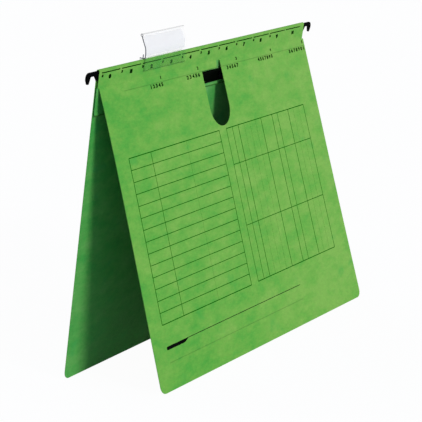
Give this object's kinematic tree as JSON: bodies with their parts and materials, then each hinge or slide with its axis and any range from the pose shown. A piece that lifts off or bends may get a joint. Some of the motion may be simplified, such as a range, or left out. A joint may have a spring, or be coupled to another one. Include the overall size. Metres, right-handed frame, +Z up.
{
  "type": "hanging fastener folder",
  "caption": "Card hanging file on a flat steel rail with end hooks, a hinged front cover with a grip hole, a prong paper fastener inside and a clip-on index tab.",
  "frame": {"origin": "on the floor, under the middle of the bounding box of the folder as it stands open", "axes": "+X along the spine from the left hook to the right one, -Y to the front cover's side, +Z up"},
  "size_m": [0.3482, 0.0862, 0.2476],
  "materials": {
    "card": "mottled green, matte",
    "slit_tape": "black, matte",
    "rail_paint": "black, satin",
    "bar_paint": "black, satin",
    "prong_steel": "bright",
    "tab_clear": "clear, glossy",
    "label_paper": "white, matte"
  },
  "bodies": {
    "rear": {"back_cover": "card", "hanging_rail": "rail_paint", "fastener_strip": "card", "fastener_prongs": "prong_steel", "compressor_bar": "bar_paint"},
    "front": {"front_cover": "card", "slit_tape": "slit_tape"},
    "tab": {"tab_holder": "tab_clear"},
    "label": {"tab_label": "label_paper"},
    "left_lock": {"lock_left": "bar_paint"},
    "right_lock": {"lock_right": "bar_paint"}
  },
  "joints": [
    {"name": "front_fold", "type": "hinge", "parent": "rear", "child": "front", "pos_m": [0, 0.01049, 0.21554], "axis": [-1, 0, 0], "range_deg": [-5, 140]},
    {"name": "tab_slide", "type": "slide", "parent": "rear", "child": "tab", "axis": [1, 0, 0], "range_m": [-0.058, 0.199]},
    {"name": "label_slide", "type": "slide", "parent": "tab", "child": "label", "axis": [-1, 0, 0], "range_m": [0, 0.05]},
    {"name": "left_lock_slide", "type": "slide", "parent": "rear", "child": "left_lock", "axis": [1, 0, 0], "range_m": [0, 0.011]},
    {"name": "right_lock_slide", "type": "slide", "parent": "rear", "child": "right_lock", "axis": [-1, 0, 0], "range_m": [0, 0.011]}
  ]
}
